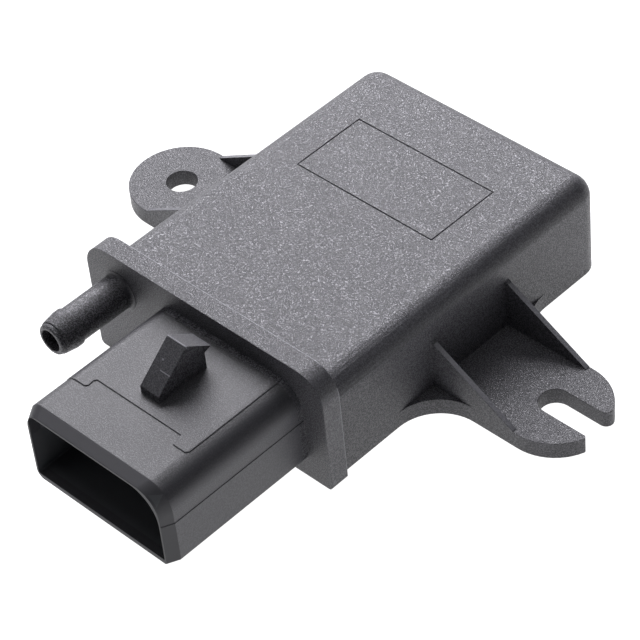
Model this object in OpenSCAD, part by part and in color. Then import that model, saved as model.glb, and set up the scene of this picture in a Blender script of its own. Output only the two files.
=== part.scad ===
// Manifold absolute pressure sensor with a three-pin plug shroud, a vacuum hose spigot
// and two mounting ears.
// Frame: X across the ears, Y from the front of the flange to the rear, Z up.
// The origin lies on the mounting plane, in the middle of the flange's front face.

/* [Body box] */
// Width of the body box across its side walls
body_w = 44.9; // [43:0.1:48]
// Height of the body box above the mounting plane
body_h = 17.1; // [16.8:0.1:19]
// Distance from the flange front to the rear wall of the body
body_l = 59.7; // [56:0.1:70]
// Radius of the rounded top and rear edges of the body
body_edge_r = 3.5; // [2:0.1:4]
// Thickness of the body's side and rear walls
wall_t = 2.0; // [1.6:0.1:2.4]
// Thickness of the body's roof
roof_t = 2.0; // [1.8:0.1:2.2]

/* [Front flange] */
// How far the flange stands out past each side wall of the body
flange_side = 1.25; // [0.8:0.05:2.5]
// How far the flange rises above the body's top
flange_rise = 3.5; // [2.4:0.1:6]
// Thickness of the flange
flange_t = 3.2; // [2.8:0.1:3.6]
// Radius of the flange's upper corners
flange_r = 4.6; // [3:0.1:6]
// Radius of the flange's lower corners
flange_low_r = 0.7; // [0.4:0.1:1]

/* [Mounting ears] */
// Distance between the middles of the round hole and of the slot's inner end
ear_span = 76.2; // [74:0.1:82]
// Distance from the flange front to the middle of the ears
ear_y = 30.9; // [29:0.1:33]
// Radius of the round end of each ear, half the ear's width
ear_r = 8.35; // [7.8:0.05:9]
// Thickness of the ears
ear_t = 2.8; // [2.2:0.1:3.4]
// Diameter of the round screw hole
hole_d = 5.0; // [4.2:0.1:5.6]
// Width of the open screw slot
slot_w = 5.0; // [4.2:0.1:5.6]
// Radius of the front prong's corner at the slot's open end
prong_front_r = 0.4; // [0.2:0.1:1.2]
// Radius of the rear prong's corner at the slot's open end
prong_rear_r = 1.2; // [0.2:0.1:1.6]
// Radius of the hollow corner between an ear and the body
ear_fillet_r = 7.5; // [5:0.1:7.8]
// Thickness of the two gussets on each ear
gusset_t = 0.8; // [0.6:0.1:1.6]
// Height of a gusset's top at the body wall, above the mounting plane
gusset_h = 11.3; // [9:0.1:12.5]
// Reach of a gusset along the ear, from the body wall
gusset_reach = 15.0; // [12:0.1:15.6]

/* [Plug shroud] */
// Width of the plug shroud
shroud_w = 28.0; // [27.5:0.1:29]
// Height of the plug shroud
shroud_h = 13.4; // [12.6:0.1:14]
// Length of the plug shroud in front of the flange
shroud_l = 26.5; // [25:0.1:32]
// Sideways offset of the shroud's middle from the flange's middle
shroud_x = 5.5; // [5.2:0.1:6]
// Height of the shroud's floor above the mounting plane
shroud_z = 3.85; // [3.5:0.05:4.2]
// Wall thickness of the shroud at the back of the plug cavity
shroud_wall = 1.6; // [1.3:0.1:1.9]
// Thickness of the shroud's floor at its mouth
mouth_floor = 0.8; // [0.6:0.1:1.1]
// Width of the flat rim around the top and sides of the mouth
rim_t = 0.35; // [0.25:0.05:0.5]
// Radius of the shroud's upper corner on the spigot side
shroud_r_near = 2.9; // [2:0.1:3.5]
// Radius of the shroud's upper corner on the far side
shroud_r_far = 4.1; // [3:0.1:4.6]
// Radius of the shroud's lower corner on the spigot side
shroud_r_low = 1.3; // [0.8:0.1:1.8]
// Radius of the plug cavity's upper far corner at the mouth
plug_r_far = 4.9; // [4:0.1:5.2]
// Depth of the small step along the shroud's far side, where the mould parts
parting_step = 0.08; // [0.05:0.01:0.3]
// Height of that step above the shroud's floor
parting_rise = 7.45; // [5:0.05:8.5]
// Length of the sloped band around the shroud's mouth
lip_l = 1.8; // [1:0.1:3]
// Drop of the sloped band at the top of the mouth
lip_drop = 0.7; // [0.3:0.1:1]
// Drop of the sloped band at the sides of the mouth
lip_side = 0.9; // [0.4:0.05:1]
// Depth of the plug cavity behind the mouth
plug_depth = 22.0; // [20:0.1:23]
// Width of the keying rib on the far inner wall
key_w = 1.5; // [1:0.1:2]
// Height of the keying rib
key_h = 1.6; // [1:0.1:2.2]
// Height of the keying rib above the plug cavity's floor
key_rise = 1.0; // [0.5:0.1:2]

/* [Latch wedge] */
// Width of the latch wedge
latch_w = 3.7; // [3:0.1:6]
// Sideways place of the latch wedge's middle
latch_x = 4.65; // [3:0.05:7]
// Distance from the flange front to the wedge's upright back
latch_y = 5.1; // [4.5:0.1:6]
// Length of the wedge from its upright back to its front step
latch_l = 9.0; // [7:0.1:10]
// Height of the wedge's crest above the shroud
latch_h = 6.35; // [5:0.05:7]
// Distance from the wedge's upright back to its crest
latch_crest = 3.0; // [2:0.1:4]
// Height of the small step at the front of the wedge
latch_step = 1.2; // [0.8:0.1:2]
// Length of the overhanging tail behind the upright back
latch_tail = 1.3; // [0.8:0.1:2]
// Height of the tail's tip above the shroud
latch_tail_h = 3.35; // [2.5:0.05:4.5]
// Drop of the tail's underside towards the upright back
latch_under = 0.4; // [0.2:0.05:0.8]

/* [Hose spigot] */
// Distance of the spigot's axis from the body's outer side
spigot_inset = 5.35; // [5.05:0.05:5.65]
// Height of the spigot's axis above the mounting plane
spigot_z = 14.35; // [14:0.05:14.6]
// Length of the spigot in front of the flange
spigot_l = 13.5; // [11:0.1:18]
// Outer diameter of the spigot's tube
spigot_d = 5.6; // [5.2:0.1:6]
// Diameter of the barb's crest
barb_d = 6.1; // [6:0.1:6.6]
// Distance of the barb's rear step from the tip
barb_l = 3.8; // [3:0.1:5]
// Length of the barb's straight crest
crest_l = 0.9; // [0.5:0.1:1.5]
// Diameter of the rounded tip
tip_d = 5.0; // [4.6:0.1:5.4]
// Radius of the hollow corner at the spigot's foot
spigot_foot_r = 0.5; // [0.3:0.1:0.8]
// Diameter of the spigot's bore
spigot_bore_d = 3.6; // [3:0.1:4]
// Diameter of the inner pressure passage
passage_d = 2.2; // [1.8:0.1:2.4]
// Wall thickness of the duct around the inner passage
duct_wall = 1.7; // [1.2:0.1:1.8]

/* [Top details] */
// Width of the shallow label recess
label_w = 27.0; // [24:0.1:30]
// Length of the label recess
label_l = 13.5; // [11:0.1:16]
// Sideways place of the label recess's middle
label_x = -0.6; // [-1:0.1:1]
// Distance from the flange front to the label recess's middle
label_y = 40.5; // [38:0.1:43]
// Depth of the line around the label place
label_depth = 0.15; // [0.1:0.05:0.3]
// Width of the line around the label place
label_line = 0.2; // [0.15:0.05:0.4]
// Height of the field that the mould insert leaves around the latch
insert_step = 0.12; // [0.05:0.01:0.2]
// Distance from the mouth to the insert field's front edge
insert_front = 10.1; // [9:0.1:11]
// How far the field's two front corners reach towards the mouth
insert_reach = 1.9; // [1:0.1:2.5]
// Distance of the field's left step from the shroud's left side
insert_left = 4.5; // [4:0.1:5]
// Distance of the field's right edge from the shroud's far side
insert_right = 3.4; // [3:0.1:4]

/* [Base cover] */
// Width of the cover's thicker rim
cover_rim = 3.0; // [2:0.1:6]
// Depth of the shallow field inside the rim
cover_field = 0.5; // [0.2:0.1:0.8]
// Thickness of the base cover
cover_t = 2.0; // [1.6:0.1:2.4]
// Setback of the cover's face from the mounting plane
cover_inset = 0.2; // [0.1:0.1:0.5]
// Width of the ledge that carries the cover and its seal
ledge_w = 0.9; // [0.7:0.1:1.1]
// Thickness of the cover seal
seal_t = 0.6; // [0.4:0.1:0.8]
// Clearance between the cover and the housing
cover_gap = 0.1; // [0.05:0.05:0.2]

/* [Terminals] */
// Spacing of the three terminals
pin_pitch = 7.0; // [6.4:0.1:7.2]
// Width of a terminal blade
blade_w = 2.8; // [2:0.1:3.2]
// Thickness of a terminal blade
blade_t = 0.8; // [0.6:0.1:1]
// Length of the blades in the plug cavity
blade_out = 13.5; // [10:0.1:18]
// Width of a terminal's tail in the board
tail_w = 1.4; // [1:0.1:1.8]
// Distance of the tails from the front wall
tail_set = 5.0; // [4:0.1:5.5]
// Length of a tail below the board
tail_below = 1.2; // [0.9:0.1:1.5]
// Diameter of the solder around a tail, at the board
solder_d = 2.8; // [2.4:0.1:3.2]
// Height of the solder
solder_h = 0.7; // [0.5:0.1:0.8]

/* [Circuit board] */
// Height of the board's upper face above the mounting plane
board_top = 6.5; // [6.3:0.1:6.7]
// Thickness of the ceramic board
board_t = 1.0; // [0.8:0.1:1.2]
// Clearance around the board's edge
board_gap = 0.7; // [0.5:0.1:1]
// Free space between the board and the body's rear wall
board_rear = 8.3; // [6:0.1:9]
// Diameter of the board posts
post_d = 3.2; // [2.8:0.1:3.6]
// Diameter of the staked pins below the posts
stake_d = 1.6; // [1.2:0.1:1.8]
// Height of a stake's flattened head
stake_h = 0.8; // [0.6:0.1:1.2]
// Clearance around pins and tails in the board
hole_gap = 0.1; // [0.05:0.05:0.2]

/* [Pressure cell] */
// Side length of the square cell cap
cap_w = 15.0; // [14:0.1:15.4]
// Height of the cell cap
cap_h = 3.0; // [2.8:0.1:3.2]
// Wall thickness of the cell cap
cap_wall = 1.0; // [0.8:0.1:1.2]
// Side length of the cell's ceramic base plate
cell_w = 10.6; // [9:0.1:11]
// Thickness of the cell's base plate
cell_base_t = 0.8; // [0.6:0.1:0.9]
// Thickness of the cell's diaphragm plate
diaphragm_t = 0.4; // [0.3:0.05:0.5]
// Thickness of the glass spacer ring
glass_t = 0.15; // [0.1:0.05:0.2]
// Thickness of the soft pad under the cell
pad_t = 0.2; // [0.1:0.05:0.3]
// Outer diameter of the port gasket
gasket_d = 4.6; // [4.2:0.1:4.8]
// Distance of the pressure port from the cap's middle, towards the front
port_shift = 4.0; // [3.5:0.1:5]
// Distance of the cap from the board's edge
cap_edge = 0.3; // [0.2:0.1:0.6]

/* [Board parts] */
// Space left between neighbouring parts on the board
part_gap = 1.2; // [1:0.1:1.5]
// Length of the signal chip's package
signal_l = 8.7; // [8:0.1:9.4]
// Length of the regulator chip's package
regulator_l = 4.9; // [4.5:0.1:5.4]
// Width of both chip packages
chip_w = 3.9; // [3.5:0.1:4.3]
// Height of both chip packages
chip_h = 1.5; // [1.2:0.1:1.8]
// Height of the packages above the board
chip_foot = 0.15; // [0.1:0.05:0.25]
// Spacing of the chips' leads
lead_pitch = 1.27; // [1.2:0.01:1.35]
// Width of a lead
lead_w = 0.4; // [0.3:0.05:0.5]
// Thickness of a lead
lead_t = 0.2; // [0.15:0.05:0.25]
// Reach of a lead past the package
lead_reach = 1.3; // [1.1:0.05:1.5]
// Length of the supply capacitor
supply_l = 6.0; // [5.5:0.1:6.5]
// Width of the supply capacitor
supply_w = 3.2; // [2.8:0.1:3.4]
// Height of the supply capacitor
supply_h = 2.6; // [2:0.1:2.8]
// Width of the reference capacitor
reference_w = 4.5; // [4:0.1:5]
// Length of a small capacitor or resistor
small_l = 3.2; // [2.8:0.1:3.4]
// Width of a small capacitor or resistor
small_w = 1.6; // [1.4:0.1:1.8]
// Height of the reference capacitor
reference_h = 1.6; // [1.2:0.1:2]
// Height of a filter capacitor
filter_h = 1.1; // [0.8:0.1:1.4]
// Height of a timing resistor
timing_h = 0.6; // [0.4:0.1:0.8]
// Width of a trim resistor
trim_w = 3.6; // [3:0.1:4]
// Length of a trim resistor
trim_l = 2.4; // [2:0.1:2.8]
// Height of a trim resistor
trim_h = 0.3; // [0.2:0.05:0.5]
// Length of the reverse diode
diode_l = 4.4; // [4:0.1:4.8]
// Width of the reverse diode
diode_w = 2.7; // [2.4:0.1:3]
// Height of the reverse diode
diode_h = 2.1; // [1.8:0.1:2.4]

/* [Hidden] */
cut = 1;
plastic = [0.23, 0.23, 0.25];
metal = [0.80, 0.74, 0.60];

half_w = body_w / 2;
flange_w = body_w + 2 * flange_side;
flange_h = body_h + flange_rise;
roof_z = body_h - roof_t;
cavity_w = body_w - 2 * wall_t;
cavity_front = flange_t;
cavity_l = body_l - wall_t - cavity_front;
cavity_r = max(body_edge_r - wall_t, 0.5);
ledge_z = cover_inset + cover_t + seal_t;
rebate_w = cavity_w + 2 * ledge_w;
rebate_front = cavity_front - ledge_w;
rebate_l = cavity_l + 2 * ledge_w;
rebate_r = cavity_r + ledge_w;
shroud_mid_z = shroud_z + shroud_h / 2;
shroud_top = shroud_z + shroud_h;
shroud_left = shroud_x - shroud_w / 2;
shroud_right = shroud_x + shroud_w / 2;
plug_back = plug_depth - shroud_l;
ear_x = ear_span / 2;
ear_front = ear_y - ear_r;
ear_rear = ear_y + ear_r;
spigot_x = half_w - spigot_inset;
// Where the three terminals stand across the plug
pin_x = [for (i = [-1, 0, 1]) shroud_x + i * pin_pitch];
tail_y = cavity_front + tail_set;
tail_end = board_top - board_t - tail_below;
blade_bottom = shroud_mid_z - blade_t / 2;
blade_top = shroud_mid_z + blade_t / 2;
board_w = cavity_w - 2 * board_gap;
board_front = cavity_front + board_gap;
board_l = cavity_l - board_gap - board_rear;
board_end = board_front + board_l;
filter_y = tail_y + blade_t + 2.5 * part_gap;
// The cell cap stands behind the filter capacitors, on the spigot's side
cap_x = cap_w / 2 + cap_edge - board_w / 2;
cap_y = filter_y + small_l + part_gap + cap_w / 2;
cell_z = board_top + pad_t;
glass_z = cell_z + cell_base_t;
diaphragm_z = glass_z + glass_t;
// The vertical end of the pressure passage, over the cell cap
port_y = cap_y - port_shift;
duct_r = passage_d / 2 + duct_wall;
duct_bottom = spigot_z - duct_r;
post_x = board_w / 2 - post_d;
post_y = filter_y + small_l + part_gap + post_d / 2;
// Board posts as sideways place and distance from the flange front
posts = [[post_x, post_y], [-post_x, board_front + post_d], [-post_x, board_end - post_d],
    [post_x, board_end - post_d]];
// The board's strip beside the cap carries three rows of parts behind its first post
strip_x = (cap_w + cap_edge) / 2;
row_front = post_y + post_d / 2 + part_gap;
row_y = [for (i = [0 : 2]) row_front + (i + 0.5) * (board_end - row_front) / 3];

// Points of an arc around a centre, from one angle to the other
function arc(c, r, a0, a1, n = 10) =
    [for (i = [0 : n]) [c[0] + r * cos(a0 + (a1 - a0) * i / n), c[1] + r * sin(a0 + (a1 - a0) * i / n)]];

// An outline standing in the XZ plane, drawn out along Y from y to y + l
module along_y(y, l) {
    translate([0, y + l, 0]) rotate([90, 0, 0]) linear_extrude(l) children();
}

// A box given by its middle across X, its front, its foot and its size
module block(x, y, z, size) {
    translate([x - size[0] / 2, y, z]) cube(size);
}

// A plate with rounded corners, given by its front, its foot, its size and its corner radius
module plate(y, z, size, r) {
    w = size[0] / 2 - r;
    translate([0, y, z]) linear_extrude(size[2]) polygon(concat(
        arc([w, r], r, -90, 0, 6), arc([w, size[1] - r], r, 0, 90, 6),
        arc([-w, size[1] - r], r, 90, 180, 6), arc([-w, r], r, 180, 270, 6)));
}

// The flange's outline: large upper corners and small lower ones
module flange_outline() {
    w = flange_w / 2;
    polygon(concat(
        arc([w - flange_low_r, flange_low_r], flange_low_r, -90, 0, 5),
        arc([w - flange_r, flange_h - flange_r], flange_r, 0, 90, 14),
        arc([flange_r - w, flange_h - flange_r], flange_r, 90, 180, 14),
        arc([flange_low_r - w, flange_low_r], flange_low_r, 180, 270, 5)));
}

// The body's outer block: top and rear edges rounded, rear corners round in plan
module body_block() {
    r = body_edge_r;
    hull() {
        for (s = [-1, 1]) {
            translate([s * (half_w - r), body_l - r, body_h - r]) sphere(r, $fn = 32);
            translate([s * (half_w - r), body_l - r, 0]) cylinder(h = r, r = r, $fn = 32);
            translate([s * (half_w - r), flange_t / 2, body_h - r])
                rotate([-90, 0, 0]) cylinder(h = r, r = r, $fn = 32);
            block(s * (half_w - r / 2), flange_t / 2, 0, [r, r, r]);
        }
    }
}

// The shroud's outline, pulled in by one value at the top and another at the sides. Above the
// parting step its far side stands back a little.
module shroud_outline(top_in = 0, side_in = 0) {
    l = shroud_left + side_in;
    r = shroud_right - side_in;
    t = shroud_top - top_in;
    step_z = shroud_z + parting_rise;
    foot_r = 0.5;
    polygon(concat(
        arc([r - foot_r, shroud_z + foot_r], foot_r, -90, 0, 4),
        [[r, step_z], [r - parting_step, step_z]],
        arc([r - parting_step - shroud_r_far, t - shroud_r_far], shroud_r_far, 0, 90, 12),
        arc([l + shroud_r_near, t - shroud_r_near], shroud_r_near, 90, 180, 10),
        arc([l + shroud_r_low, shroud_z + shroud_r_low], shroud_r_low, 180, 270, 6)));
}

// One of the two parts that the mould's parting divides the shroud's outline into
module shroud_half(upper, top_in = 0, side_in = 0) {
    step_z = shroud_z + parting_rise;
    intersection() {
        shroud_outline(top_in, side_in);
        translate([shroud_left - cut, upper ? step_z : shroud_z - cut])
            square([shroud_w + 2 * cut, upper ? shroud_h : parting_rise + cut]);
    }
}

// The plug cavity's outline for given walls at the sides, at the top and at the floor, and for
// the radius of its upper far corner
module plug_outline(side, roof, low, far) {
    l = shroud_left + side;
    r = shroud_right - side;
    b = shroud_z + low;
    t = shroud_top - roof;
    near = max(shroud_r_near - side, 0.5);
    foot = 0.3;
    polygon(concat(
        [[r, b]],
        arc([r - far, t - far], far, 0, 90, 10),
        arc([l + near, t - near], near, 90, 180, 8),
        arc([l + foot, b + foot], foot, 180, 270, 4)));
}

// The shroud's outer form with its sloped mouth band
module shroud_block() {
    thin = 0.01;
    along_y(lip_l - shroud_l, shroud_l - lip_l + flange_t / 2) shroud_outline();
    for (upper = [false, true]) hull() {
        along_y(lip_l - shroud_l, thin) shroud_half(upper);
        along_y(-shroud_l, thin) shroud_half(upper, lip_drop, lip_side);
    }
}

// The plug cavity: it narrows from the mouth to its back, as the mould's core draws
module plug_cavity() {
    thin = 0.01;
    floor_z = shroud_z + shroud_wall;
    difference() {
        hull() {
            along_y(plug_back - thin, thin)
                plug_outline(shroud_wall, shroud_wall, shroud_wall, 0.7 * plug_r_far);
            along_y(-shroud_l - thin, thin)
                plug_outline(lip_side + rim_t, lip_drop + rim_t, mouth_floor, plug_r_far);
        }
        block(shroud_right - shroud_wall - key_w / 2 + cut, -shroud_l + lip_l, floor_z + key_rise,
            [key_w + 2 * cut, plug_depth, key_h]);
    }
}

// The latch wedge: a ramp from its front step to the crest, then a sloped tail that hangs over
module latch_wedge() {
    back = -latch_y;
    tip_z = shroud_top + latch_tail_h;
    translate([latch_x - latch_w / 2, 0, 0]) rotate([90, 0, 90]) linear_extrude(latch_w) polygon([
        [back - latch_l, shroud_top - cut], [back - latch_l, shroud_top + latch_step],
        [back - latch_crest, shroud_top + latch_h], [back + latch_tail, tip_z],
        [back, tip_z - latch_under], [back, shroud_top - cut]]);
}

// The hose spigot: a tube with one barb, a rounded tip and a hollow corner at its foot
module spigot() {
    tube = spigot_d / 2;
    crest = barb_d / 2;
    tip = tip_d / 2;
    tip_r = 0.4;
    foot = spigot_foot_r;
    step = spigot_l - barb_l;
    translate([-spigot_x, 0, spigot_z]) rotate([90, 0, 0]) rotate_extrude($fn = 64)
        polygon(concat([[0, -flange_t / 2], [tube + foot, -flange_t / 2], [tube + foot, 0.1]],
            arc([tube + foot, foot + 0.1], foot, 270, 180, 5),
            [[tube, step], [crest, step], [crest, step + crest_l], [tip + 0.2, spigot_l - 0.8],
            [tip, spigot_l - 0.8]],
            arc([tip - tip_r, spigot_l - tip_r], tip_r, 0, 90, 4), [[0, spigot_l]]));
}

// The plan of one ear on the +X side, from the body's middle to its round end
module ear_plan() {
    f = ear_fillet_r;
    union() {
        translate([0, ear_front]) square([ear_x, 2 * ear_r]);
        translate([ear_x, ear_y]) circle(ear_r, $fn = 96);
        difference() {
            translate([0, ear_front - f]) square([half_w + f, 2 * ear_r + 2 * f]);
            translate([half_w + f, ear_front - f]) circle(f, $fn = 64);
            translate([half_w + f, ear_rear + f]) circle(f, $fn = 64);
        }
    }
}

// One ear with its two gussets; side is 1 for +X and -1 for -X
module ear(side) {
    reach = half_w + gusset_reach;
    mirror([side < 0 ? 1 : 0, 0, 0]) {
        linear_extrude(ear_t) ear_plan();
        for (y = [ear_front, ear_rear - gusset_t])
            along_y(y, gusset_t)
                polygon([[half_w - cut, 0], [reach, 0], [reach, ear_t], [half_w, gusset_h],
                    [half_w - cut, gusset_h]]);
    }
}

// What rounds one prong's corner at the slot's open end; side is 1 for the rear prong
module prong_corner(r, side) {
    c_y = slot_w / 2 + r;
    c_x = sqrt(pow(ear_r - r, 2) - pow(c_y, 2));
    far = (ear_r + cut) / (ear_r - r);
    translate([ear_x, ear_y, -cut]) mirror([0, side < 0 ? 1 : 0, 0]) linear_extrude(ear_t + 2 * cut)
        difference() {
            polygon([[c_x, c_y], [c_x, slot_w / 2 - 0.1], [ear_r + cut, slot_w / 2 - 0.1],
                [c_x * far, c_y * far]]);
            translate([c_x, c_y]) circle(r, $fn = 48);
        }
}

// The round hole on the -X ear and the open slot on the +X ear
module screw_openings() {
    translate([-ear_x, ear_y, -cut]) cylinder(h = ear_t + 2 * cut, d = hole_d, $fn = 64);
    translate([ear_x, ear_y, -cut]) cylinder(h = ear_t + 2 * cut, d = slot_w, $fn = 64);
    translate([ear_x, ear_y - slot_w / 2, -cut]) cube([ear_r + cut, slot_w, ear_t + 2 * cut]);
    prong_corner(prong_rear_r, 1);
    prong_corner(prong_front_r, -1);
}

// The field that the mould insert leaves a little proud around the latch, with its stepped corners
module insert_field() {
    l = shroud_left + insert_left;
    r = shroud_right - insert_right;
    f = insert_front - shroud_l;
    near = f - insert_reach;
    rear = -1.2;
    intersection() {
        along_y(near, -near + flange_t / 2) shroud_outline(-insert_step);
        translate([0, 0, shroud_mid_z]) linear_extrude(shroud_h)
            polygon([[shroud_left - cut, near], [l - 0.2, near], [l + 0.2, near + 0.4], [l + 0.1, f - 0.4],
                [l + 0.4, f], [r - 3.1, f], [r - 2.6, near], [r - 0.4, near], [r, near + 0.5], [r, 0],
                [latch_x + 5, 0], [latch_x + 5, rear - 0.5], [l + 0.1, rear], [l + 0.1, 0],
                [shroud_left - cut, 0]]);
    }
}

// The thin line around the label place
module label_frame() {
    difference() {
        block(label_x, label_y - label_l / 2, body_h - label_depth, [label_w, label_l, cut]);
        block(label_x, label_y - label_l / 2 + label_line, 0,
            [label_w - 2 * label_line, label_l - 2 * label_line, body_h + cut]);
    }
}

// Everything hollow in the housing: cavity, cover rebate, plug cavity and pressure passage
module housing_hollows() {
    difference() {
        plate(cavity_front, ledge_z - cut, [cavity_w, cavity_l, roof_z - ledge_z + cut], cavity_r);
        block(-spigot_x, 0, duct_bottom, [2 * duct_r, port_y + duct_r, body_h]);
        for (p = posts) translate([p[0], p[1], board_top]) cylinder(h = body_h, d = post_d, $fn = 48);
        for (p = posts) stake(p);
    }
    plate(rebate_front, -cut, [rebate_w, rebate_l, ledge_z + cut], rebate_r);
    plug_cavity();
    translate([-spigot_x, 0, spigot_z]) rotate([90, 0, 0]) {
        translate([0, 0, 1]) cylinder(h = spigot_l, d = spigot_bore_d, $fn = 48);
        translate([0, 0, -port_y]) cylinder(h = port_y + 2, d = passage_d, $fn = 48);
    }
    translate([-spigot_x, port_y, duct_bottom - cut])
        cylinder(h = spigot_z - duct_bottom + cut, d = passage_d, $fn = 48);
    for (x = pin_x)
        block(x, plug_back - cut, blade_bottom, [blade_w, flange_t - plug_back + 2 * cut, blade_t]);
}

// A staked pin: the shank through the board and the flattened head below it
module stake(p) {
    foot = board_top - board_t - stake_h;
    translate([p[0], p[1], foot]) cylinder(h = stake_h, d = 2 * stake_d, $fn = 48);
    translate([p[0], p[1], foot]) cylinder(h = stake_h + board_t + 0.4, d = stake_d, $fn = 48);
}

module housing() {
    color(plastic) difference() {
        union() {
            body_block();
            along_y(0, flange_t) flange_outline();
            shroud_block();
            insert_field();
            latch_wedge();
            spigot();
            ear(1);
            ear(-1);
        }
        housing_hollows();
        screw_openings();
        label_frame();
    }
}

module base_cover() {
    w = rebate_w - 2 * cover_gap;
    l = rebate_l - 2 * cover_gap;
    color([0.18, 0.18, 0.20]) difference() {
        plate(rebate_front + cover_gap, cover_inset, [w, l, cover_t], rebate_r);
        plate(rebate_front + cover_gap + cover_rim, cover_inset - cut,
            [w - 2 * cover_rim, l - 2 * cover_rim, cut + cover_field], rebate_r);
    }
}

module cover_seal() {
    w = rebate_w - 2 * cover_gap;
    l = rebate_l - 2 * cover_gap;
    color([0.15, 0.16, 0.18]) difference() {
        plate(rebate_front + cover_gap, ledge_z - seal_t, [w, l, seal_t], rebate_r);
        plate(cavity_front, ledge_z - seal_t - cut, [cavity_w, cavity_l, seal_t + 2 * cut], cavity_r);
    }
}

// A terminal: the blade through the front wall and its tail down through the board
module terminal(x) {
    tip = plug_back - blade_out;
    chamfer = blade_t / 3;
    color(metal) {
        translate([x - blade_w / 2, 0, 0]) rotate([90, 0, 90]) linear_extrude(blade_w) polygon([
            [tip, shroud_mid_z - chamfer / 2], [tip, shroud_mid_z + chamfer / 2], [tip + blade_t, blade_top],
            [tail_y + blade_t, blade_top], [tail_y + blade_t, blade_bottom], [tip + blade_t, blade_bottom]]);
        block(x, tail_y, tail_end, [tail_w, blade_t, blade_bottom - tail_end]);
    }
}

module ground_terminal() {
    terminal(pin_x[0]);
}

module signal_terminal() {
    terminal(pin_x[1]);
}

module supply_terminal() {
    terminal(pin_x[2]);
}

// Solder around each tail below the board
module terminal_solder() {
    foot = board_top - board_t;
    color([0.72, 0.73, 0.75]) for (x = pin_x) difference() {
        translate([x, tail_y + blade_t / 2, foot - solder_h])
            cylinder(h = solder_h, d1 = solder_d * 0.64, d2 = solder_d, $fn = 32);
        block(x, tail_y, tail_end - cut, [tail_w, blade_t, board_top]);
    }
}

module circuit_board() {
    color([0.86, 0.86, 0.82]) difference() {
        block(0, board_front, board_top - board_t, [board_w, board_l, board_t]);
        for (p = posts) translate([p[0], p[1], 0])
            cylinder(h = board_top + cut, d = stake_d + 2 * hole_gap, $fn = 48);
        for (x = pin_x) block(x, tail_y - hole_gap, 0,
            [tail_w + 2 * hole_gap, blade_t + 2 * hole_gap, board_top + cut]);
    }
}

module cell_cap() {
    inner = cap_w - 2 * cap_wall;
    color([0.42, 0.40, 0.36]) difference() {
        block(cap_x, cap_y - cap_w / 2, board_top, [cap_w, cap_w, cap_h]);
        block(cap_x, cap_y - inner / 2, board_top - cut, [inner, inner, cap_h - cap_wall + cut]);
        translate([-spigot_x, port_y, board_top]) cylinder(h = cap_h + cut, d = passage_d, $fn = 48);
    }
}

module port_gasket() {
    foot = board_top + cap_h;
    color([0.55, 0.20, 0.16]) translate([-spigot_x, port_y, foot]) difference() {
        cylinder(h = duct_bottom - foot, d = gasket_d, $fn = 64);
        translate([0, 0, -cut]) cylinder(h = duct_bottom - foot + 2 * cut, d = passage_d, $fn = 48);
    }
}

module cell_pad() {
    pad_w = cell_w - 2;
    color([0.75, 0.75, 0.78]) block(cap_x, cap_y - pad_w / 2, board_top, [pad_w, pad_w, pad_t]);
}

module cell_base_plate() {
    color([0.92, 0.91, 0.88]) block(cap_x, cap_y - cell_w / 2, cell_z, [cell_w, cell_w, cell_base_t]);
}

// The fired glass ring keeps the two plates apart and seals the vacuum between them
module cell_glass_ring() {
    color([0.55, 0.62, 0.60]) translate([cap_x, cap_y, glass_z]) difference() {
        cylinder(h = glass_t, d = cell_w - 0.6, $fn = 64);
        translate([0, 0, -cut]) cylinder(h = glass_t + 2 * cut, d = cell_w * 0.75, $fn = 64);
    }
}

module cell_diaphragm() {
    color([0.95, 0.94, 0.90]) translate([cap_x, cap_y, diaphragm_z])
        cylinder(h = diaphragm_t, d = cell_w - 0.4, $fn = 64);
}

// Lead strips from the base plate's rear edge down to the board
module cell_leads() {
    y = cap_y + cell_w / 2;
    color(metal) for (i = [-1, 0, 1])
        block(cap_x + i * cell_w / 4, y, board_top, [2 * lead_w, lead_t, pad_t + cell_base_t]);
}

// A chip in a moulded package with bent leads along both long sides
module chip(x, y, l) {
    leads = round(l / lead_pitch);
    block(x, y - chip_w / 2, board_top + chip_foot, [l, chip_w, chip_h]);
    for (i = [0 : leads - 1], s = [-1, 1]) {
        u = x + (i - (leads - 1) / 2) * l / leads;
        edge = y + s * chip_w / 2;
        mid = edge + s * lead_reach / 2;
        end = edge + s * lead_reach;
        block(u, min(edge - s * lead_t, mid), board_top + chip_h / 2,
            [lead_w, lead_reach / 2 + lead_t, lead_t]);
        block(u, mid - lead_t / 2, board_top, [lead_w, lead_t, chip_h / 2 + lead_t]);
        block(u, min(mid, end), board_top, [lead_w, lead_reach / 2, lead_t]);
    }
}

module signal_chip() {
    color([0.12, 0.12, 0.13]) chip(strip_x - (supply_w + part_gap) / 2, row_y[0], signal_l);
}

module regulator_chip() {
    color([0.12, 0.12, 0.13])
        chip(cap_x, board_front + chip_w / 2 + lead_reach + part_gap, regulator_l);
}

module supply_capacitor() {
    color([0.80, 0.62, 0.22]) block(strip_x + (signal_l + part_gap) / 2, row_y[0] - supply_l / 2, board_top,
        [supply_w, supply_l, supply_h]);
}

module reference_capacitor() {
    color([0.66, 0.56, 0.42]) block(cap_x, filter_y, board_top, [reference_w, small_l, reference_h]);
}

// One chip capacitor behind each terminal's tail
module filter_capacitors() {
    color([0.66, 0.56, 0.42]) for (x = pin_x) block(x, filter_y, board_top, [small_w, small_l, filter_h]);
}

module timing_resistors() {
    color([0.14, 0.14, 0.16]) for (i = [-1.5 : 1.5])
        block(strip_x + 2 * i * small_w, row_y[1] - small_l / 2, board_top, [small_w, small_l, timing_h]);
}

module trim_resistors() {
    color([0.20, 0.26, 0.22]) for (i = [0, 1])
        block(cap_x + 1.5 * i * trim_w, board_end - part_gap - trim_l, board_top, [trim_w, trim_l, trim_h]);
}

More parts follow.
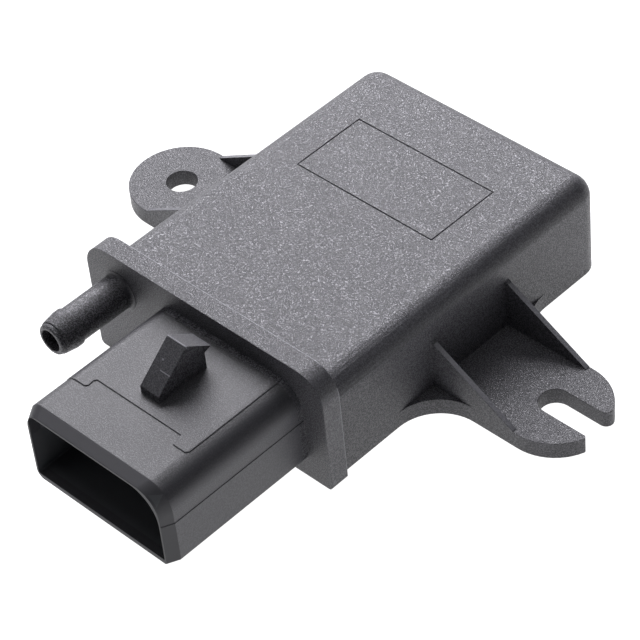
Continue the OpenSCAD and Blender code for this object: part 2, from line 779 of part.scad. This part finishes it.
module reverse_diode() {
    color([0.12, 0.12, 0.13])
        block(strip_x + diode_w, row_y[2] - diode_l / 2, board_top, [diode_w, diode_l, diode_h]);
}

housing();
base_cover();
cover_seal();
ground_terminal();
signal_terminal();
supply_terminal();
terminal_solder();
circuit_board();
cell_cap();
port_gasket();
cell_pad();
cell_base_plate();
cell_glass_ring();
cell_diaphragm();
cell_leads();
signal_chip();
regulator_chip();
supply_capacitor();
reference_capacitor();
filter_capacitors();
timing_resistors();
trim_resistors();
reverse_diode();
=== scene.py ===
"""Manifold absolute pressure sensor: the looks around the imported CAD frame."""
import math

import bpy
from mathutils import Matrix, Vector


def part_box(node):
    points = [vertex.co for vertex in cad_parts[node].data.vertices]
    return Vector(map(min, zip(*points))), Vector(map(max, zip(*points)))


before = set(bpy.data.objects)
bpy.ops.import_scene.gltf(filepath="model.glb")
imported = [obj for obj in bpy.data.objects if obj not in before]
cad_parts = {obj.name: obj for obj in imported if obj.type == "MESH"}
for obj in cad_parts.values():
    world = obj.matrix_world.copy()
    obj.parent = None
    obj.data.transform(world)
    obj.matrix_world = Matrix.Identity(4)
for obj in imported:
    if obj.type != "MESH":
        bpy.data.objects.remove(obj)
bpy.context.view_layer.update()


# Camera. A long lens looks down on the plug end from the slotted ear's side, and leans a little,
# as the photograph does. The place comes from the camera that fits the sensor's corners.
CAMERA_PLACE = (0.2241, -0.1775, 0.2847)
CAMERA_LOOK = (-0.5435, 0.4847, -0.6853)
CAMERA_LEAN = 6.37
CAMERA_LENS = 157.68

look = Vector(CAMERA_LOOK).normalized()
level = look.cross(Vector((0, 0, 1))).normalized()
upright = level.cross(look)
lean = math.radians(CAMERA_LEAN)
right = math.cos(lean) * level - math.sin(lean) * upright
top = math.sin(lean) * level + math.cos(lean) * upright
lens = bpy.data.cameras.new("photo_camera")
lens.lens = CAMERA_LENS
lens.sensor_width = 36
lens.clip_start, lens.clip_end = 0.01, 20
camera = bpy.data.objects.new("photo_camera", lens)
camera.matrix_world = Matrix.Translation(CAMERA_PLACE) @ Matrix((right, top, -look)).transposed().to_4x4()
bpy.context.scene.collection.objects.link(camera)
bpy.context.scene.camera = camera
bpy.context.scene.view_settings.view_transform = "Standard"


# Studio. One softbox stands low at the rear left, where the sensor's top mirrors it. A weak fill
# lights the plug end, a small ceiling panel the deep bays, and the white table glows from below.
SOFTBOX = {"width": 0.7, "place": (-0.54, 0.49, 0.56), "power": 18.8}
FILL = {"width": 0.6, "place": (-0.54, -0.61, 0.58), "power": 0.8}
CEILING = {"width": 0.5, "place": (0.05, 0.0, 0.90), "power": 2.2}
ROOM_COLOUR = (0.93, 0.93, 1, 1)
ROOM_LIGHT = 0.12
SOFTBOX_COLOUR = (0.96, 0.95, 1.0)
TABLE_WIDTH = 6
TABLE_DROP = 0.00005
TABLE_COLOUR = (0.28, 0.28, 0.285, 1)
TABLE_GLOW = 1.05

for name, light in {"softbox": SOFTBOX, "fill": FILL, "ceiling": CEILING}.items():
    lamp = bpy.data.lights.new(name, "AREA")
    lamp.shape, lamp.size, lamp.energy = "SQUARE", light["width"], light["power"]
    panel = bpy.data.objects.new(name, lamp)
    panel.location = light["place"]
    panel.rotation_mode = "QUATERNION"
    panel.rotation_quaternion = (-Vector(light["place"])).to_track_quat("-Z", "Y")
    bpy.context.scene.collection.objects.link(panel)
bpy.data.lights["softbox"].color = SOFTBOX_COLOUR
studio = bpy.data.worlds.new("studio")
studio.use_nodes = True
backdrop = studio.node_tree.nodes["Background"]
backdrop.inputs["Color"].default_value = ROOM_COLOUR
# Under the table the room is as bright as the table, so the underside can be looked at too
bearing = studio.node_tree.nodes.new("ShaderNodeTexCoord")
split = studio.node_tree.nodes.new("ShaderNodeSeparateXYZ")
level_light = studio.node_tree.nodes.new("ShaderNodeMapRange")
for key, value in {"From Min": -0.02, "From Max": 0.0, "To Min": TABLE_GLOW, "To Max": ROOM_LIGHT}.items():
    level_light.inputs[key].default_value = value
studio.node_tree.links.new(bearing.outputs["Generated"], split.inputs["Vector"])
studio.node_tree.links.new(split.outputs["Z"], level_light.inputs["Value"])
studio.node_tree.links.new(level_light.outputs["Result"], backdrop.inputs["Strength"])
bpy.context.scene.world = studio

reach = TABLE_WIDTH / 2
table_mesh = bpy.data.meshes.new("white_table")
table_mesh.from_pydata([(x, y, -TABLE_DROP) for x, y in (
    (-reach, -reach), (reach, -reach), (reach, reach), (-reach, reach))],
                       [], [(0, 1, 2, 3)])
white_table = bpy.data.objects.new("white_table", table_mesh)
bpy.context.scene.collection.objects.link(white_table)
table_top = bpy.data.materials.new("white_table")
table_top.use_nodes = True
table_shader = table_top.node_tree.nodes["Principled BSDF"]
for name, value in {"Base Color": TABLE_COLOUR, "Roughness": 0.9, "Emission Color": (1, 1, 1, 1),
                    "Emission Strength": TABLE_GLOW}.items():
    table_shader.inputs[name].default_value = value
# Seen from below, the table is clear
table_side = table_top.node_tree.nodes.new("ShaderNodeNewGeometry")
clear = table_top.node_tree.nodes.new("ShaderNodeBsdfTransparent")
sided = table_top.node_tree.nodes.new("ShaderNodeMixShader")
table_top.node_tree.links.new(table_side.outputs["Backfacing"], sided.inputs[0])
table_top.node_tree.links.new(table_shader.outputs[0], sided.inputs[1])
table_top.node_tree.links.new(clear.outputs[0], sided.inputs[2])
table_top.node_tree.links.new(sided.outputs[0], table_top.node_tree.nodes["Material Output"].inputs["Surface"])
table_mesh.materials.append(table_top)


# Housing. One moulding in black glass-filled plastic: box, flange, plug shroud, latch wedge, hose
# spigot and ears. The mould is spark-eroded, so every outer face has a fine dull grain.
class Flow:
    """One socket in a material. Python's operators on it add Math nodes."""

    def __init__(self, finish, socket):
        self.finish, self.socket = finish, socket

    def maths(self, operation, *terms):
        return self.finish.node("ShaderNodeMath", {"operation": operation}, dict(enumerate(terms)))

    def __add__(self, other):
        return self.maths("ADD", self, other)

    def __radd__(self, other):
        return self.maths("ADD", other, self)

    def __sub__(self, other):
        return self.maths("SUBTRACT", self, other)

    def __rsub__(self, other):
        return self.maths("SUBTRACT", other, self)

    def __mul__(self, other):
        return self.maths("MULTIPLY", self, other)

    def __rmul__(self, other):
        return self.maths("MULTIPLY", other, self)

    def __gt__(self, other):
        return self.maths("GREATER_THAN", self, other)

    def __lt__(self, other):
        return self.maths("LESS_THAN", self, other)

    def within(self, low, high):
        return (self > low) * (self < high)


class Finish:
    """A material under way: node() adds any node, and coat() sets the shader's own sockets."""

    def __init__(self, name):
        self.material = bpy.data.materials.new(name)
        self.material.use_nodes = True
        self.tree = self.material.node_tree
        self.shader = self.tree.nodes["Principled BSDF"]
        self.place = self.node("ShaderNodeTexCoord", {}, {}, "Object")

    def connect(self, node, sockets):
        for key, value in sockets.items():
            slot = node.inputs[key] if isinstance(key, int) else next(
                s for s in node.inputs if key in (s.identifier, s.name))
            if isinstance(value, Flow):
                self.tree.links.new(value.socket, slot)
            else:
                slot.default_value = value

    def node(self, kind, settings, sockets, output=0):
        made = self.tree.nodes.new(kind)
        for key, value in settings.items():
            if key == "stops":
                ramp = made.color_ramp
                while len(ramp.elements) < len(value):
                    ramp.elements.new(0.5)
                for element, (at, shade) in zip(ramp.elements, value):
                    element.position, element.color = at, (shade, shade, shade, 1)
            else:
                setattr(made, key, value)
        self.connect(made, sockets)
        return Flow(self, made.outputs[output] if isinstance(output, int) else next(
            s for s in made.outputs if output in (s.identifier, s.name)))

    def noise(self, size_mm, detail=2, roughness=0.5, distortion=0.0):
        return self.node("ShaderNodeTexNoise", {}, {"Vector": self.place, "Scale": 1000 / size_mm,
                         "Detail": detail, "Roughness": roughness, "Distortion": distortion}, "Fac")

    def band(self, value, low, high):
        """0 below low, 1 above high, smooth between."""
        return self.node("ShaderNodeMapRange", {"interpolation_type": "SMOOTHSTEP"},
                         {"Value": value, "From Min": low, "From Max": high}, "Result")

    def blend(self, factor, first, second):
        return self.node("ShaderNodeMix", {"data_type": "RGBA"}, {
            "Factor_Float": factor, "A_Color": first, "B_Color": second}, "Result_Color")

    def axes(self):
        split = self.node("ShaderNodeSeparateXYZ", {}, {"Vector": self.place})
        return [Flow(self, s) for s in split.socket.node.outputs]

    def rounded(self, radius_mm, height=None, strength=0.3, depth_mm=0.05):
        """Normals that soften sharp edges, with a height on top."""
        edge = self.node("ShaderNodeBevel", {"samples": 6}, {"Radius": radius_mm / 1000}, "Normal")
        if height is None:
            return edge
        return self.node("ShaderNodeBump", {}, {"Height": height, "Strength": strength,
                         "Distance": depth_mm / 1000, "Normal": edge}, "Normal")

    def coat(self, **sockets):
        self.connect(self.shader, {k.replace("_", " "): v for k, v in sockets.items()})
        return self.material


def dress(node, material):
    """Gives a CAD node its finish."""
    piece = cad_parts[node]
    piece.data.materials.clear()
    piece.data.materials.append(material)


def reach(node):
    """The lowest and highest corner of a CAD node, in metres."""
    low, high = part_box(node)
    return Vector(low), Vector(high)


PLASTIC_DARK = (0.000, 0.000, 0.002, 1)
PLASTIC_PALE = (0.129, 0.127, 0.143, 1)
# Painted shade: set dark colours for the polished land around the mouth and for the plug cavity, the cavity a little
# lighter than the land
SMOOTH_AND_SHADED_COLOUR = (0.020, 0.020, 0.024, 1)
PAINTED_CAVITY_SHADE = (0.034, 0.036, 0.040, 1)
# Pale colour for the painted edge highlights, and for the latch's real scratch and pin mark
HIGHLIGHT_AND_MARK_COLOUR = (0.32, 0.32, 0.35, 1)
GRAIN_MM = 0.20
PIT_MM = 0.5
GRAIN_DEPTH_MM = 0.05
SHROUD_GRAIN = 0.25
SIDE_GRAIN = 0.65
ROUNDING_GRAIN = 0.3
EDGE_MM = 0.16
LIP_REAR_Y = -0.0247
MOUTH_Y = -0.0262

plastic = Finish("black_plastic")
grain = plastic.noise(GRAIN_MM, 2, 0.7)
pits = plastic.noise(PIT_MM, 2, 0.5)
relief = 0.88 * plastic.band(grain, 0.46, 0.60) + 0.12 * plastic.band(pits, 0.42, 0.60)
mottle = plastic.noise(9, 3)
across, along, up = plastic.axes()
# The core that shapes the plug cavity is polished, and so is the land around its mouth. Both also get painted shade in
# their colour.
upper = across.within(-0.0071, 0.0181) * up.within(0.0047, 0.0161)
lower = across.within(-0.0076, 0.0186) * up.within(0.0047, 0.0120)
cavity = along.within(MOUTH_Y, -0.004) * upper.maths("MAXIMUM", upper, lower)
smooth = cavity.maths("MAXIMUM", cavity, along < LIP_REAR_Y)
# The grain is deepest on the top and the ears, finer on the walls, and fades on the roundings
facing = plastic.node("ShaderNodeSeparateXYZ", {}, {"Vector": plastic.node("ShaderNodeNewGeometry", {}, {},
                      "Normal")}, "Z")
shroud = (along < -0.001) * (across > -0.0125) * (up < 0.0174)
spigot = (along < -0.001) * (across < -0.0125)
flat = plastic.band(facing, 0.85, 0.99)
curved = plastic.band(facing, 0.05, 0.3)
walls = SIDE_GRAIN + (ROUNDING_GRAIN - SIDE_GRAIN) * curved + (1 - ROUNDING_GRAIN) * flat
depth = walls.maths("MAXIMUM", walls, spigot) * (
    1 - (1 - SHROUD_GRAIN) * shroud) * (1 - 0.8 * smooth)
ears = (up < 0.0032) * (facing > 0.8)
# Painted shade: the shroud's upward faces, the body's roundings and the ears' floors are darkened by the first terms
# here, which reach the roughness and the bump as well as the colour.
height = 0.42 - 0.30 * shroud * plastic.band(facing, 0.0, 0.7) - 0.18 * curved * (1 - flat) * (1 - shroud) - 0.08 * ears + (
    relief - 0.42) * (depth - 0.25 * ears)
# Painted highlights: bright lines are painted along the rear of the flange's rim and the latch's crest,
# and fainter painted light on the rim's sides and the gussets' crests. The latch's ramp has a scratch and a pin mark.
aside = across.maths("ABSOLUTE", across)
rim_side = (aside > 0.0234) * (along < 0.0034)
painted_edge_highlight = along.within(0.0031, 0.0033) * rim_side.maths("MAXIMUM", rim_side, up > 0.0204) + (
    along.within(-0.0082, -0.0080) * (up > 0.0232))
crests = (aside > 0.0230) * facing.within(0.25, 0.97) * (up > 0.0029) * (along > 0.005)
scuffed = (across.within(0.0045, 0.0065) * along.within(-0.01167, -0.01155)
           + across.within(0.00395, 0.00422) * along.within(-0.01062, -0.01040)) * (up > 0.0180)
shade = plastic.blend(0.6 * painted_edge_highlight + 0.4 * scuffed + 0.20 * crests + 0.07 * rim_side, plastic.blend(height, PLASTIC_DARK, PLASTIC_PALE), HIGHLIGHT_AND_MARK_COLOUR)
# Painted shade: the plug cavity and the land at its mouth take the set dark colours
plastic.coat(Base_Color=plastic.blend(cavity, plastic.blend(smooth, shade, SMOOTH_AND_SHADED_COLOUR), PAINTED_CAVITY_SHADE),
             Roughness=0.51 - 0.26 * height * (1 - smooth) + 0.06 * mottle,
             Normal=plastic.rounded(EDGE_MM, height, 1.0, GRAIN_DEPTH_MM))
dress("housing", plastic.material)

# The solids' roundings are facets some 7 to 11 degrees apart, which the light shouldn't show
FACET_ANGLE = math.radians(14)
rounding = bpy.data.node_groups.new("smooth_roundings", "GeometryNodeTree")
rounding.interface.new_socket("Geometry", in_out="INPUT", socket_type="NodeSocketGeometry")
rounding.interface.new_socket("Geometry", in_out="OUTPUT", socket_type="NodeSocketGeometry")
enter = rounding.nodes.new("NodeGroupInput")
weld = rounding.nodes.new("GeometryNodeMergeByDistance")
weld.inputs["Distance"].default_value = 1e-6
forget = rounding.nodes.new("GeometryNodeRemoveAttribute")
forget.inputs["Name"].default_value = "custom_normal"
soft_faces = rounding.nodes.new("GeometryNodeSetShadeSmooth")
soft_edges = rounding.nodes.new("GeometryNodeSetShadeSmooth")
soft_edges.domain = "EDGE"
angle = rounding.nodes.new("GeometryNodeInputMeshEdgeAngle")
small = rounding.nodes.new("ShaderNodeMath")
small.operation = "LESS_THAN"
small.inputs[1].default_value = FACET_ANGLE
leave = rounding.nodes.new("NodeGroupOutput")
for before, after in zip((enter, weld, forget, soft_faces, soft_edges), (weld, forget, soft_faces, soft_edges, leave)):
    rounding.links.new(before.outputs["Geometry" if "Geometry" in before.outputs else 0],
                       after.inputs["Geometry" if "Geometry" in after.inputs else 0])
rounding.links.new(angle.outputs["Unsigned Angle"], small.inputs[0])
rounding.links.new(small.outputs[0], soft_edges.inputs["Shade Smooth"])
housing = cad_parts["housing"]
housing.modifiers.new("smooth_roundings", "NODES").node_group = rounding
weighted = housing.modifiers.new("flat_faces_first", "WEIGHTED_NORMAL")
weighted.keep_sharp = True
weighted.weight = 50


# Base cover. A flat moulded plate that closes the open underside, glued on a sealing bead. Its mould
# is only blasted, so it is smoother than the housing, with faint flow lines from one gate.
COVER_DARK = (0.020, 0.020, 0.022, 1)
COVER_PALE = (0.052, 0.052, 0.056, 1)
cover = Finish("cover_plastic")
blast = cover.noise(0.35, 2, 0.6)
flow = cover.noise(7, 4, 0.6, 1.5)
cover.coat(Base_Color=cover.blend(cover.band(0.5 * blast + 0.5 * flow, 0.35, 0.65), COVER_DARK, COVER_PALE),
           Roughness=0.36 + 0.2 * flow, Normal=cover.rounded(0.15, blast, 0.5, 0.03))
dress("base_cover", cover.material)


# Cover seal. A bead of black silicone, squeezed between the ledge and the cover: satin and a little
# wavy, with dust stuck to it.
SEAL_DARK = (0.012, 0.012, 0.013, 1)
SEAL_DUST = (0.060, 0.058, 0.054, 1)
seal = Finish("sealant")
wave = seal.noise(1.6, 2)
dust = seal.band(seal.noise(0.2, 2), 0.62, 0.75)
seal.coat(Base_Color=seal.blend(0.6 * dust, SEAL_DARK, SEAL_DUST), Roughness=0.32 + 0.3 * dust,
          Normal=seal.rounded(0.2, wave, 0.6, 0.12))
dress("cover_seal", seal.material)


# Terminals. Three brass blades, stamped and tinned. The tin is drawn in fine lines along the blade
# and is thinner at the tip, where the brass shows through.
TIN_PALE = (0.78, 0.77, 0.73, 1)
TIN_DARK = (0.56, 0.55, 0.52, 1)
BRASS = (0.74, 0.56, 0.28, 1)
BLADES = ["ground_terminal", "signal_terminal", "supply_terminal"]
tinned = Finish("tinned_brass")
across, along, up = tinned.axes()
drawn = tinned.node("ShaderNodeTexNoise", {}, {"Vector": tinned.node("ShaderNodeVectorMath", {
    "operation": "MULTIPLY"}, {0: tinned.place, 1: (9000, 300, 9000)}), "Scale": 1, "Detail": 3}, "Fac")
tip_y = reach(BLADES[0])[0].y
worn = tinned.band(tip_y + 0.0025 - along, 0, 0.0025) * tinned.band(tinned.noise(0.8, 3), 0.4, 0.6)
tinned.coat(Base_Color=tinned.blend(0.7 * worn, tinned.blend(drawn, TIN_DARK, TIN_PALE), BRASS),
            Metallic=1.0, Roughness=0.22 + 0.2 * drawn, Normal=tinned.rounded(0.08, drawn, 0.25, 0.01))
for blade in BLADES:
    dress(blade, tinned.material)


# Terminal solder. Three cones of solder, bright where they set fast and frosted in patches.
SOLDER_PALE = (0.70, 0.71, 0.74, 1)
SOLDER_FROST = (0.48, 0.49, 0.52, 1)
solder = Finish("solder")
frost = solder.band(solder.noise(0.7, 4, 0.6), 0.42, 0.62)
solder.coat(Base_Color=solder.blend(frost, SOLDER_PALE, SOLDER_FROST), Metallic=1.0,
            Roughness=0.14 + 0.3 * frost, Normal=solder.rounded(0.15, solder.noise(0.5, 2), 0.4, 0.05))
dress("terminal_solder", solder.material)


# Circuit board. A fired white ceramic plate with silver conductors printed on its upper face: pads
# under the parts, and straight tracks from the terminals to the chips.
CERAMIC = (0.80, 0.79, 0.75, 1)
CERAMIC_SHADE = (0.66, 0.65, 0.60, 1)
SILVER_INK = (0.50, 0.49, 0.46, 1)
TRACK_MM = 0.35
PAD_MM = 0.5
PAD_NODES = ["signal_chip", "regulator_chip", "supply_capacitor", "reference_capacitor", "reverse_diode"]


def ceramic_body(name):
    """Fired alumina: near white, with a fine matt bite and a few darker grains."""
    made = Finish(name)
    bite = made.noise(0.12, 2, 0.6)
    grains = made.band(made.noise(0.35, 3), 0.66, 0.74)
    return made, bite, made.blend(0.35 * grains + 0.2 * bite, CERAMIC, CERAMIC_SHADE)


board, bite, fired = ceramic_body("white_ceramic_board")
across, along, up = board.axes()
board_low, board_high = reach("circuit_board")
ink = None
boxes = []
for name in PAD_NODES:
    low, high = reach(name)
    boxes.append((low.x - PAD_MM / 1000, high.x + PAD_MM / 1000, low.y - PAD_MM / 1000, high.y + PAD_MM / 1000))
half_track = TRACK_MM / 2000
for blade in BLADES:
    low, high = reach(blade)
    middle = (low.x + high.x) / 2
    boxes.append((middle - 3 * half_track, middle + 3 * half_track, high.y - 0.0015, reach("signal_chip")[0].y))
for part in PAD_NODES[1:]:
    low, high = reach(part)
    middle = (low.x + high.x) / 2
    boxes.append((middle - half_track, middle + half_track, low.y - 0.004, high.y + 0.004))
    boxes.append((min(middle, 0), max(middle, 0), low.y - 0.004, low.y - 0.004 + 2 * half_track))
for left, right_side, front, rear in boxes:
    patch = (across > left) * (across < right_side) * (along > front) * (along < rear)
    ink = patch if ink is None else ink.maths("MAXIMUM", ink, patch)
ink = ink * (up > board_high.z - 0.00005)
board.coat(Base_Color=board.blend(ink, fired, SILVER_INK), Metallic=0.7 * ink, Roughness=0.55 - 0.15 * ink,
           Normal=board.rounded(0.08, 0.3 * bite + ink, 0.4, 0.02))
dress("circuit_board", board.material)


# Cell cap. A brown-grey moulded cover over the pressure cell, glued to the board, dull and finely
# mottled by its mineral filler.
CAP_DARK = (0.120, 0.105, 0.085, 1)
CAP_PALE = (0.260, 0.235, 0.195, 1)
cap = Finish("cap_plastic")
filler = cap.noise(0.25, 3, 0.65)
cap.coat(Base_Color=cap.blend(cap.band(filler, 0.35, 0.65), CAP_DARK, CAP_PALE),
         Roughness=0.5 + 0.15 * filler, Normal=cap.rounded(0.15, filler, 0.5, 0.02))
dress("cell_cap", cap.material)


# Port gasket. A soft red-brown silicone ring that seals the cap to the housing's pressure passage,
# matt, with a dusting of talc.
GASKET_RED = (0.300, 0.070, 0.045, 1)
TALC = (0.520, 0.400, 0.360, 1)
gasket = Finish("gasket_rubber")
talc = gasket.band(gasket.noise(0.15, 3, 0.6), 0.55, 0.75)
gasket.coat(Base_Color=gasket.blend(0.35 * talc, GASKET_RED, TALC), Roughness=0.55 + 0.2 * talc,
            Normal=gasket.rounded(0.15, gasket.noise(0.6, 2), 0.3, 0.04))
dress("port_gasket", gasket.material)


# Cell pad. The soft grey silicone that bonds the cell to the board and keeps strain off it.
PAD_GREY = (0.50, 0.50, 0.53, 1)
PAD_PALE = (0.68, 0.68, 0.70, 1)
pad = Finish("silicone_pad")
cloud = pad.noise(1.2, 3)
pad.coat(Base_Color=pad.blend(cloud, PAD_GREY, PAD_PALE), Roughness=0.35 + 0.2 * cloud,
         Normal=pad.rounded(0.06, cloud, 0.3, 0.03))
dress("cell_pad", pad.material)


# Pressure cell. Two ceramic plates with a vacuum between them: a thick base and a thin round
# diaphragm, which carries a printed gold electrode with a guard ring.
GOLD_INK = (0.68, 0.48, 0.18, 1)
base_plate, bite, fired = ceramic_body("white_ceramic_base")
base_plate.coat(Base_Color=fired, Roughness=0.45 + 0.2 * bite, Normal=base_plate.rounded(0.08, bite, 0.4, 0.02))
dress("cell_base_plate", base_plate.material)

diaphragm, bite, fired = ceramic_body("white_ceramic_diaphragm")
low, high = reach("cell_diaphragm")
centre, radius = (low + high) / 2, (high.x - low.x) / 2
across, along, up = diaphragm.axes()
off_x, off_y = across - centre.x, along - centre.y
distance = diaphragm.node("ShaderNodeMath", {"operation": "SQRT"}, {0: off_x * off_x + off_y * off_y})
electrode = (distance < 0.45 * radius) + (distance > 0.62 * radius) * (distance < 0.70 * radius)
electrode = electrode * (up > high.z - 0.00005)
diaphragm.coat(Base_Color=diaphragm.blend(electrode, fired, GOLD_INK), Metallic=0.9 * electrode,
               Roughness=0.5 - 0.15 * electrode, Normal=diaphragm.rounded(0.06, bite, 0.3, 0.02))
dress("cell_diaphragm", diaphragm.material)


# Cell glass ring. Sealing glass, printed and fired between the plates: grey-green, glossy, with
# small bubbles.
GLASS_DARK = (0.22, 0.28, 0.26, 1)
GLASS_PALE = (0.42, 0.48, 0.45, 1)
glass = Finish("fired_glass")
bubbles = glass.node("ShaderNodeTexVoronoi", {}, {"Vector": glass.place, "Scale": 4000.0}, "Distance")
glass.coat(Base_Color=glass.blend(bubbles, GLASS_PALE, GLASS_DARK), Roughness=0.12 + 0.2 * bubbles,
           Normal=glass.rounded(0.05, bubbles, 0.3, 0.02))
dress("cell_glass_ring", glass.material)


# Cell leads. Three tinned strips, cut from the same sheet as the terminals, bright and plain.
strips = Finish("tinned_leads")
drawn = strips.noise(0.2, 3, 0.6, 0.5)
strips.coat(Base_Color=strips.blend(drawn, TIN_DARK, TIN_PALE), Metallic=1.0, Roughness=0.2 + 0.2 * drawn,
            Normal=strips.rounded(0.04, drawn, 0.2, 0.01))
dress("cell_leads", strips.material)


# Chips and diode. Black moulded packages with tinned leads. Each chip has a small round dimple at
# its first lead, and the diode a pale band at one end.
PACKAGE_DARK = (0.018, 0.018, 0.019, 1)
PACKAGE_PALE = (0.055, 0.055, 0.057, 1)
BAND_PALE = (0.45, 0.45, 0.44, 1)
LEAD_MM = 1.3
DIMPLE_MM = 0.45


def package(node, lead_mm, dimple=False, band=False):
    """A black package whose leads or end tabs stand out past its long sides."""
    made = Finish("chip_package_" + node)
    across, along, up = made.axes()
    low, high = reach(node)
    lead = lead_mm / 1000
    metal = (along < low.y + lead).maths("MAXIMUM", along < low.y + lead, along > high.y - lead)
    powder = made.noise(0.15, 3, 0.6)
    body = made.blend(powder, PACKAGE_DARK, PACKAGE_PALE)
    relief = 0.3 * powder
    if band:
        stripe = (along > high.y - 0.0011) * (up > high.z - 0.0001)
        body = made.blend(0.8 * stripe, body, BAND_PALE)
        metal = metal * (up < low.z + 0.0011)
    if dimple:
        spot_x, spot_y = low.x + 0.0008, low.y + lead + 0.0008
        gap_x, gap_y = across - spot_x, along - spot_y
        spot = made.node("ShaderNodeMath", {"operation": "SQRT"}, {0: gap_x * gap_x + gap_y * gap_y})
        relief = relief - (spot < DIMPLE_MM / 1000) * (up > high.z - 0.0001)
    tin = made.blend(powder, TIN_DARK, TIN_PALE)
    made.coat(Base_Color=made.blend(metal, body, tin), Metallic=1.0 * metal,
              Roughness=0.5 + 0.1 * powder - 0.25 * metal, Normal=made.rounded(0.08, relief, 0.5, 0.04))
    dress(node, made.material)


package("signal_chip", LEAD_MM, dimple=True)
package("regulator_chip", LEAD_MM, dimple=True)
package("reverse_diode", 0.35, band=True)


# Capacitors and resistors. Small blocks with tinned end caps: an ochre tantalum case with a brown
# bar at one end, tan ceramic capacitors, and resistors with a dark glazed film.
TANTALUM = (0.66, 0.40, 0.08, 1)
TANTALUM_BAR = (0.22, 0.08, 0.02, 1)
TAN_DARK = (0.34, 0.24, 0.14, 1)
TAN_PALE = (0.52, 0.40, 0.26, 1)
FILM_DARK = (0.016, 0.020, 0.022, 1)
FILM_GREEN = (0.045, 0.080, 0.060, 1)
END_CAP_MM = 0.45


def end_capped(node, slot, dark, pale, bar=None):
    """A small block in two near shades, with tinned caps on its two ends."""
    made = Finish(slot + "_" + node)
    across, along, up = made.axes()
    low, high = reach(node)
    cap_end = END_CAP_MM / 1000
    ends = (along < low.y + cap_end).maths("MAXIMUM", along < low.y + cap_end, along > high.y - cap_end)
    speckle = made.noise(0.18, 3, 0.6)
    body = made.blend(made.band(speckle, 0.35, 0.65), dark, pale)
    if bar:
        body = made.blend((along > high.y - 0.0016) * (up > high.z - 0.0001), body, bar)
        ends = ends * (up < low.z + 0.0014)
    tin = made.blend(speckle, TIN_DARK, TIN_PALE)
    made.coat(Base_Color=made.blend(ends, body, tin), Metallic=0.9 * ends,
              Roughness=0.45 + 0.1 * speckle - 0.15 * ends, Normal=made.rounded(0.08, speckle + ends, 0.4, 0.03))
    dress(node, made.material)


end_capped("supply_capacitor", "tantalum_case", TANTALUM, TANTALUM, bar=TANTALUM_BAR)
for node in ("reference_capacitor", "filter_capacitors"):
    end_capped(node, "capacitor_ceramic", TAN_DARK, TAN_PALE)
end_capped("timing_resistors", "resistor_film", FILM_DARK, PACKAGE_PALE)
end_capped("trim_resistors", "resistor_film", FILM_DARK, FILM_GREEN)
